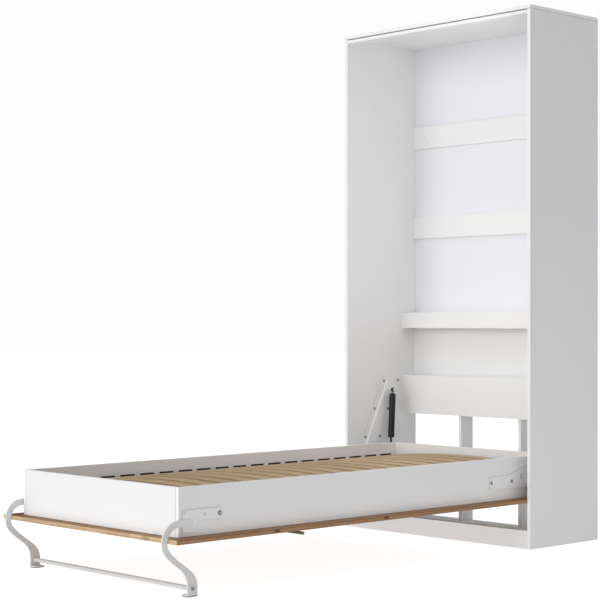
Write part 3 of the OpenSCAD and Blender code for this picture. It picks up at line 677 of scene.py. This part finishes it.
# Places of the bracket screws, in millimetres from the side rail's lower corner at the foot
BRACKET_SCREWS = ((22, 83), (113, 72), (180, 71))


def new_piece(name, shape, body, finish):
    """Turns a bmesh into a piece that rides on a body and takes one finish."""
    bmesh.ops.recalc_face_normals(shape, faces=shape.faces)
    for face in shape.faces:
        face.smooth = True
    mesh = bpy.data.meshes.new(name)
    shape.to_mesh(mesh)
    shape.free()
    mesh.materials.append(finish)
    piece = bpy.data.objects.new(name, mesh)
    bpy.context.scene.collection.objects.link(piece)
    split = piece.modifiers.new("split", "EDGE_SPLIT")
    split.split_angle = math.radians(34)
    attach(piece, body)
    return piece


def axes_for(direction):
    """Two unit vectors across a direction."""
    along = Vector(direction).normalized()
    side = along.cross(Vector((0, 1, 0)) if abs(along.y) < 0.9 else Vector((1, 0, 0))).normalized()
    return along, side, along.cross(side)


def turn(shape, origin, direction, profile, sides=40, flats=False):
    """Adds a turned ring to a bmesh. The closed profile holds (radius, distance) pairs in millimetres.

    With flats the ring is a prism, and each radius reaches the middle of its flat sides.
    """
    along, side, up = axes_for(direction)
    rings = []
    for radius, distance in profile:
        reach = radius / math.cos(math.pi / sides) if flats else radius
        ring = []
        for i in range(sides):
            angle = 2 * math.pi * (i + 0.5) / sides
            out = side * math.cos(angle) + up * math.sin(angle)
            ring.append(shape.verts.new(origin + along * distance * MM + out * reach * MM))
        rings.append(ring)
    for a, b in zip(rings, rings[1:] + rings[:1]):
        for i in range(sides):
            j = (i + 1) % sides
            shape.faces.new((a[i], a[j], b[j], b[i]))


# Washers, as (radius, distance from the plate) pairs in millimetres round their section
DISHED = ((4.7, 0.0), (6.6, 0.0), (6.6, 0.35), (6.1, 0.75), (5.0, 0.95), (4.7, 0.8))
WIDE_DISHED = ((4.7, 0.0), (8.0, 0.0), (8.0, 0.4), (7.3, 0.9), (5.2, 1.1), (4.7, 0.9))
FLAT = ((4.7, 0.0), (9.8, 0.0), (9.8, 0.6), (9.2, 1.0), (4.7, 1.0))


def make_washers(name, places, out, profile, body, finish):
    """Washers under screw heads, all as one piece."""
    shape = bmesh.new()
    for place in places:
        turn(shape, Vector(place), (out, 0, 0), profile)
    new_piece(name, shape, body, finish)


def tube_along(shape, path, radius, sides=8):
    """Adds a slightly uneven round bead along a path that lies in a plane of constant X."""
    rings = []
    for i, point in enumerate(path):
        before, after = path[max(i - 1, 0)], path[min(i + 1, len(path) - 1)]
        run = (after - before).normalized()
        across = run.cross(Vector((1, 0, 0)))
        swell = 1.0 + 0.10 * math.sin(i * 2.1)
        ring = []
        for k in range(sides):
            angle = 2 * math.pi * k / sides
            offset = Vector((1, 0, 0)) * math.cos(angle) + across * math.sin(angle)
            ring.append(shape.verts.new(point + offset * radius * swell))
        rings.append(ring)
    for a, b in zip(rings, rings[1:]):
        for k in range(sides):
            m = (k + 1) % sides
            shape.faces.new((a[k], a[m], b[m], b[k]))
    shape.faces.new(rings[0][::-1])
    shape.faces.new(rings[-1])


def make_arm_weld(name, side, finish):
    """The weld bead where a leg arm's rounded end lies on its bracket."""
    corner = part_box("side_rail_right")[0]
    centre = Vector((0, corner.y + ARM_END_Y, corner.z + ARM_END_Z))
    straight = [run * 3 * MM for run in range(1, 11)]
    bend_steps = 12
    path = []
    for run in reversed(straight):
        path.append(centre + Vector((0, -run, ARM_END_R)))
    for step in range(bend_steps + 1):
        angle = math.pi / 2 - math.pi * step / bend_steps
        path.append(centre + Vector((0, math.cos(angle), math.sin(angle))) * ARM_END_R)
    for run in straight:
        path.append(centre + Vector((0, -run, -ARM_END_R)))
    shape = bmesh.new()
    x = side * (PLATE_FACE_X + 0.4 * MM)
    tube_along(shape, [Vector((x, point.y, point.z)) for point in path], 1.3 * MM)
    new_piece(name, shape, "bed", finish)


def make_hinge_nut(name, place, side, finish):
    """A flat closed hexagon nut over the third screw of a bed hinge plate."""
    shape = bmesh.new()
    nut = ((0.0, 0.9), (7.5, 0.9), (7.5, 3.2), (6.7, 3.9), (0.0, 4.2))
    turn(shape, Vector(place), (side, 0, 0), nut, 6, flats=True)
    bmesh.ops.remove_doubles(shape, verts=shape.verts, dist=0.001 * MM)
    loose = [edge for edge in shape.edges if not edge.link_faces]
    bmesh.ops.delete(shape, geom=loose, context="EDGES")
    new_piece(name, shape, "bed", finish)


def make_spring_details(side_name, side, finishes):
    """The cylinder's rolled ends and lock nut, and the rod's lock nut, on one gas spring."""
    top = Vector((side * UPPER_STUD.x, UPPER_STUD.y, UPPER_STUD.z))
    down = Vector((0, LOWER_STUD.y - UPPER_STUD.y, LOWER_STUD.z - UPPER_STUD.z)).normalized()
    cylinder = "spring_cylinder_" + side_name
    shape = bmesh.new()
    rolled_top = (
        (5.6, 18.5), (7.5, 18.8), (11.5, 20.4), (13.8, 22.6), (14.6, 24.4), (14.6, 26.0),
        (5.6, 25.0),
    )
    turn(shape, top, down, rolled_top, 48)
    rolled_low = (
        (14.45, 211.0), (14.8, 211.6), (14.9, 213.0), (14.9, 219.0), (14.2, 221.4),
        (12.4, 222.6), (5.2, 222.8), (5.2, 220.5), (12.0, 219.5),
    )
    turn(shape, top, down, rolled_low, 48)
    new_piece("spring_end_caps_" + side_name, shape, cylinder, finishes["black_paint"])

    shape = bmesh.new()
    nut = ((5.7, 11.2), (6.4, 11.2), (7.4, 12.0), (7.4, 16.2), (6.6, 17.0), (5.7, 17.0))
    turn(shape, top, down, nut, 6, flats=True)
    new_piece("spring_lock_nut_" + side_name, shape, cylinder, finishes["screw_steel"])

    low = Vector((side * LOWER_STUD.x, LOWER_STUD.y, LOWER_STUD.z))
    shape = bmesh.new()
    nut = ((5.3, -118.5), (7.2, -118.5), (8.0, -117.6), (8.0, -113.4), (7.2, -112.5), (5.3, -112.5))
    turn(shape, low, down, nut, 6, flats=True)
    rod = "spring_rod_" + side_name
    new_piece("rod_lock_nut_" + side_name, shape, rod, finishes["screw_steel"])


def make_details(finishes, ring_steel):
    """Every piece that is added to the CAD nodes."""
    rail_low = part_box("side_rail_right")[0]
    for side_name, side in (("left", -1), ("right", 1)):
        x = side * CABINET_PLATE_FACE_X
        places = [(x, PIVOT.y + y * MM, PIVOT.z + z * MM) for y, z in CABINET_SCREWS]
        places += [(x, UPPER_STUD.y + y * MM, UPPER_STUD.z + z * MM) for y, z in STUD_SCREWS]
        make_washers("cabinet_plate_washers_" + side_name, places, -side, DISHED, "cabinet",
            ring_steel)
        x = side * PLATE_FACE_X
        places = [(x, PIVOT.y + y * MM, PIVOT.z + z * MM) for y, z in BED_SCREWS]
        make_washers("bed_plate_washers_" + side_name, places[:2] + places[3:], side, DISHED,
            "bed", ring_steel)
        make_washers("hinge_nut_washer_" + side_name, places[2:3], side, FLAT, "bed",
            ring_steel)
        make_hinge_nut("hinge_plate_nut_" + side_name, places[2], side, finishes["coated_steel"])
        places = [(x, rail_low.y + y * MM, rail_low.z + z * MM) for y, z in BRACKET_SCREWS]
        make_washers("bracket_washers_" + side_name, places[:2], side, DISHED, "bed",
            finishes["coated_steel"])
        make_washers("bracket_rear_washer_" + side_name, places[2:], side, WIDE_DISHED, "bed",
            ring_steel)
        make_arm_weld("arm_weld_" + side_name, side, finishes["coated_steel"])
        make_spring_details(side_name, side, finishes)


# ---------- the scene ----------

# Soft strip lights: name, place, direction, width, height, power and tint
STRIPS = (
    ("inner_light", (0.38, 0.50, 1.35), (-1.0, 0.3, 0.0), 0.4, 1.6, 1.6, (1.0, 1.0, 1.0)),
    ("bed_light", (0.40, -0.35, 0.75), (-1.0, 0.0, -0.4), 1.5, 0.3, 1.1, (0.74, 0.88, 1.0)),
    ("side_fill", (1.60, -0.25, 0.32), (-1.0, 0.0, 0.0), 2.4, 0.25, 1.3, (0.95, 0.98, 1.0)),
    ("foot_fill", (0.0, -2.40, 0.32), (0.0, 1.0, 0.0), 1.6, 0.25, 1.8, (0.92, 0.97, 1.0)),
    ("plinth_fill", (0.0, 0.35, 0.10), (0.0, 1.0, -0.1), 0.9, 0.10, 0.50, (0.86, 0.94, 1.0)),
    ("rail_edge_fill", (0.53, -0.22, 0.225), (-1.0, 0.0, 0.0), 1.7, 0.02, 0.095, (0.93, 0.97, 1.0)),
    ("foot_edge_fill", (0.0, -1.14, 0.225), (0.0, 1.0, 0.0), 0.9, 0.02, 0.053, (0.93, 0.97, 1.0)),
)

make_camera()
make_world(brightest=(0.25, -0.8, 0.5), front=0.475, rear=0.05, backdrop=0.98)
make_sun("front_light", towards=(0.10, 1.0, -0.12), strength=0.99, spread=35)
make_sun("top_light", towards=(0.1, 0.25, -1.0), strength=1.10, spread=60)
for strip in STRIPS:
    make_strip(*strip)
make_floor(glow=0.54, shown=0.36)
bpy.context.scene.view_settings.view_transform = "Standard"
soften_edges()
FINISHES = assign_materials()
make_details(FINISHES, ring_washer_steel())
